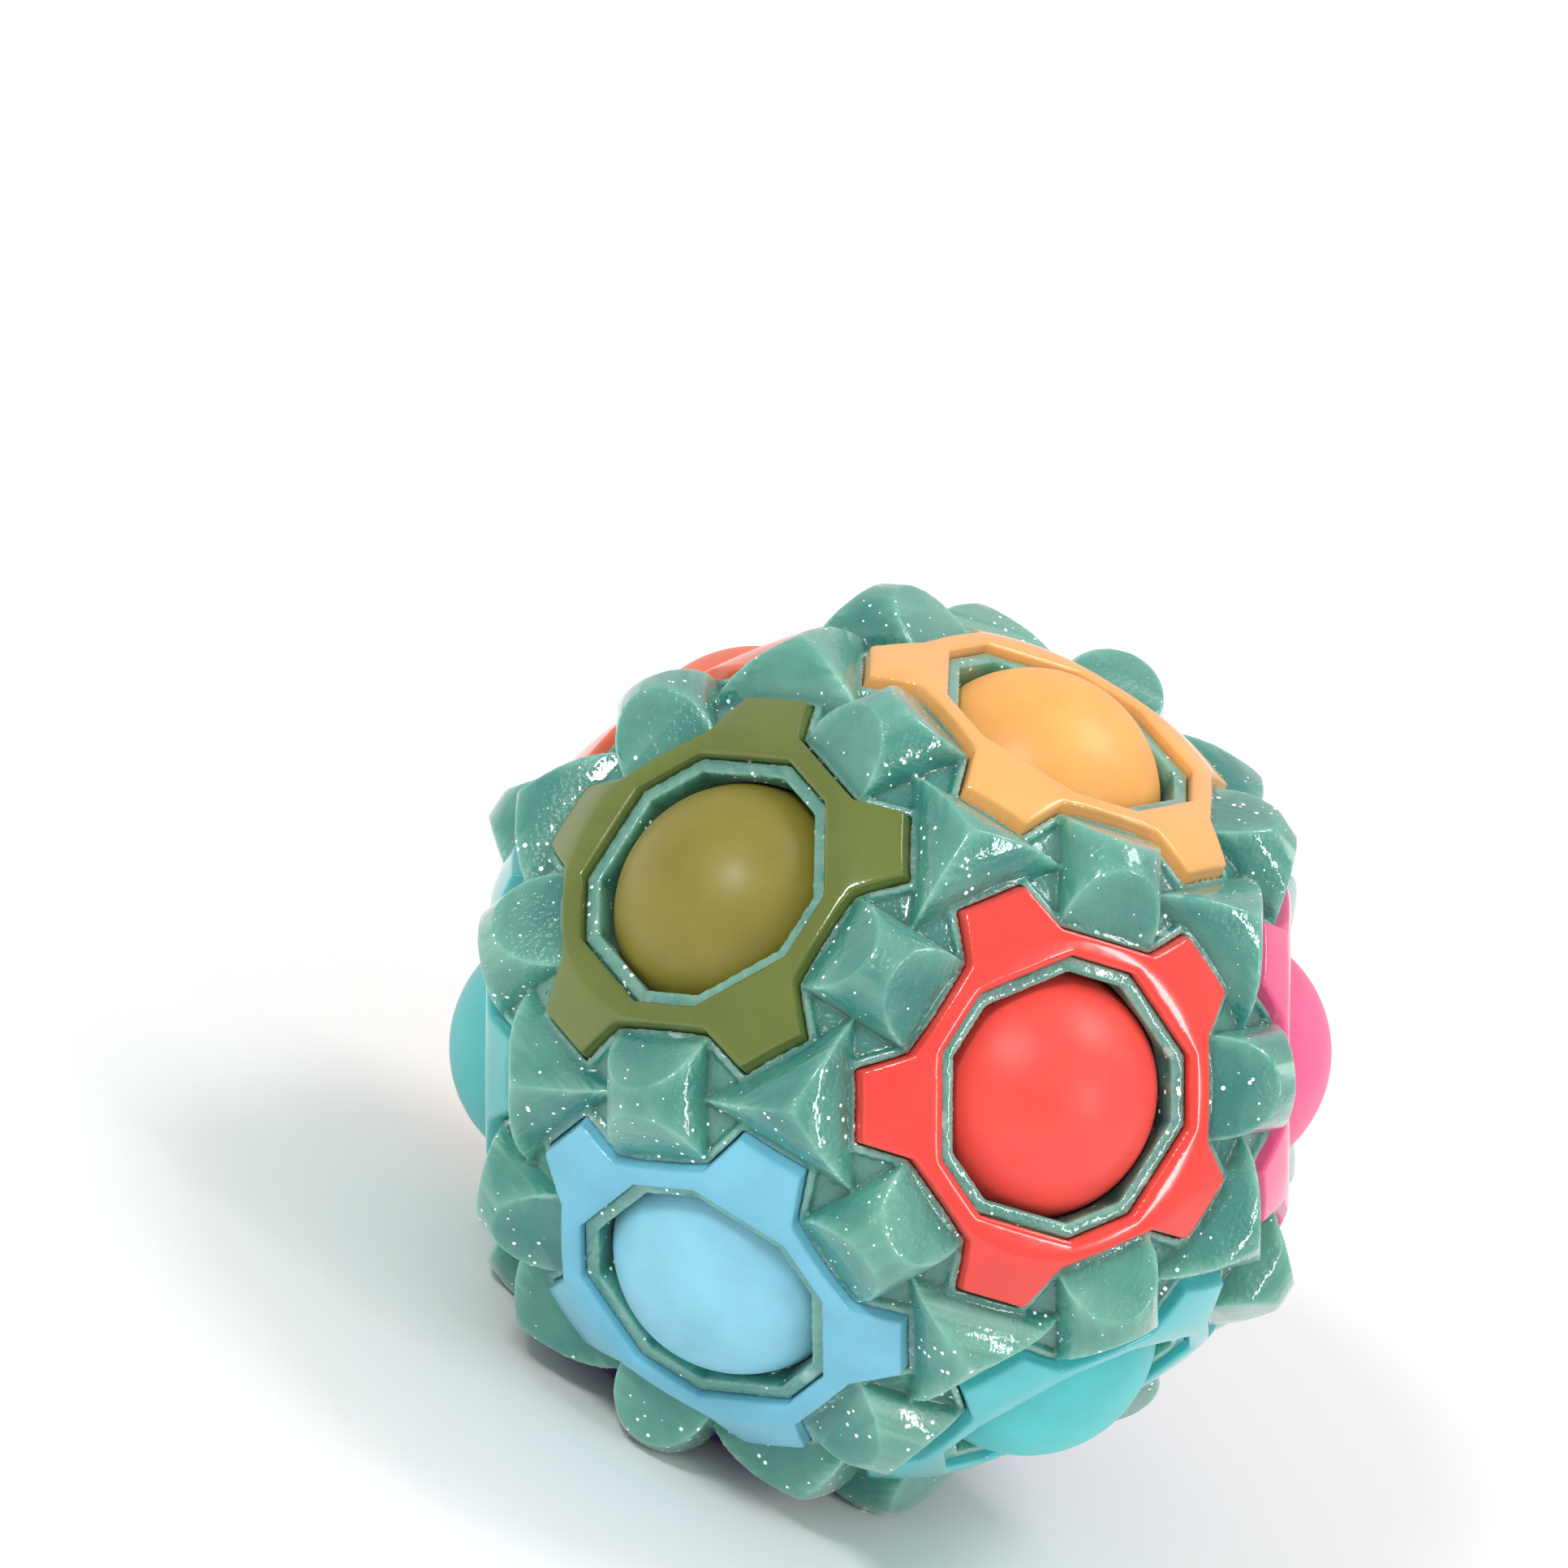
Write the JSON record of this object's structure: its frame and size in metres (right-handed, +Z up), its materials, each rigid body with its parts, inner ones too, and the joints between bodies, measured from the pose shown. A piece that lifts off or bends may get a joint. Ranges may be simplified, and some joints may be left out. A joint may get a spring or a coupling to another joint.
{
  "type": "rainbow puzzle ball",
  "caption": "Hollow soft puzzle ball with dodecahedral windows, a coloured five-armed ring round each, and loose balls that press in and shift to the empty window.",
  "frame": {"origin": "on the surface the ball stands on, straight under its centre", "axes": "+Z up, along the axis from the empty window at the bottom to the peach window at the top; +X towards the azimuth of the red window"},
  "size_m": [0.0974, 0.1, 0.0904],
  "materials": {
    "shell": "soft translucent sea-green elastomer with fine silver glitter, glossy",
    "ring_peach": "glossy moulded plastic",
    "ring_red": "glossy moulded plastic",
    "ring_pink": "glossy moulded plastic",
    "ring_yellow": "glossy moulded plastic",
    "ring_coral": "glossy moulded plastic",
    "ring_olive": "glossy moulded plastic",
    "ring_cyan": "glossy moulded plastic",
    "ring_blue": "glossy moulded plastic",
    "ring_orange": "glossy moulded plastic",
    "ring_teal": "glossy moulded plastic",
    "ring_sky": "glossy moulded plastic",
    "ring_purple": "glossy moulded plastic",
    "ball_peach": "satin moulded plastic",
    "ball_red": "satin moulded plastic",
    "ball_pink": "satin moulded plastic",
    "ball_yellow": "satin moulded plastic",
    "ball_coral": "satin moulded plastic",
    "ball_olive": "satin moulded plastic",
    "ball_cyan": "satin moulded plastic",
    "ball_blue": "satin moulded plastic",
    "ball_orange": "satin moulded plastic",
    "ball_teal": "satin moulded plastic",
    "ball_sky": "satin moulded plastic"
  },
  "bodies": {
    "shell": {"upper_shell": "shell", "lower_shell": "shell", "ring_peach": "ring_peach", "ring_red": "ring_red", "ring_pink": "ring_pink", "ring_yellow": "ring_yellow", "ring_coral": "ring_coral", "ring_olive": "ring_olive", "ring_cyan": "ring_cyan", "ring_blue": "ring_blue", "ring_orange": "ring_orange", "ring_teal": "ring_teal", "ring_sky": "ring_sky", "ring_purple": "ring_purple"},
    "ball_peach": {"ball_peach": "ball_peach"},
    "ball_red": {"ball_red": "ball_red"},
    "ball_pink": {"ball_pink": "ball_pink"},
    "ball_yellow": {"ball_yellow": "ball_yellow"},
    "ball_coral": {"ball_coral": "ball_coral"},
    "ball_olive": {"ball_olive": "ball_olive"},
    "ball_cyan": {"ball_cyan": "ball_cyan"},
    "ball_blue": {"ball_blue": "ball_blue"},
    "ball_orange": {"ball_orange": "ball_orange"},
    "ball_teal": {"ball_teal": "ball_teal"},
    "ball_sky": {"ball_sky": "ball_sky"}
  },
  "joints": [
    {"name": "press_peach", "type": "slide", "parent": "shell", "child": "ball_peach", "axis": [0, 0, -1], "range_m": [0, 0.0062]},
    {"name": "press_red", "type": "slide", "parent": "shell", "child": "ball_red", "axis": [-0.8944, 0, -0.4472], "range_m": [0, 0.0062]},
    {"name": "press_pink", "type": "slide", "parent": "shell", "child": "ball_pink", "axis": [-0.2764, -0.8507, -0.4472], "range_m": [0, 0.0062]},
    {"name": "press_yellow", "type": "slide", "parent": "shell", "child": "ball_yellow", "axis": [0.7236, -0.5257, -0.4472], "range_m": [0, 0.0062]},
    {"name": "press_coral", "type": "slide", "parent": "shell", "child": "ball_coral", "axis": [0.7236, 0.5257, -0.4472], "range_m": [0, 0.0062]},
    {"name": "press_olive", "type": "slide", "parent": "shell", "child": "ball_olive", "axis": [-0.2764, 0.8507, -0.4472], "range_m": [0, 0.0062]},
    {"name": "press_cyan", "type": "slide", "parent": "shell", "child": "ball_cyan", "axis": [-0.7236, -0.5257, 0.4472], "range_m": [0, 0.0062]},
    {"name": "press_blue", "type": "slide", "parent": "shell", "child": "ball_blue", "axis": [0.2764, -0.8507, 0.4472], "range_m": [0, 0.0062]},
    {"name": "press_orange", "type": "slide", "parent": "shell", "child": "ball_orange", "axis": [0.8944, 0, 0.4472], "range_m": [0, 0.0062]},
    {"name": "press_teal", "type": "slide", "parent": "shell", "child": "ball_teal", "axis": [0.2764, 0.8507, 0.4472], "range_m": [0, 0.0062]},
    {"name": "shift_sky", "type": "hinge", "parent": "shell", "child": "ball_sky", "pos_m": [0.0166, -0.01206, 0.01013], "axis": [-0.5878, -0.809, 0], "range_deg": [0, 116.56]}
  ]
}
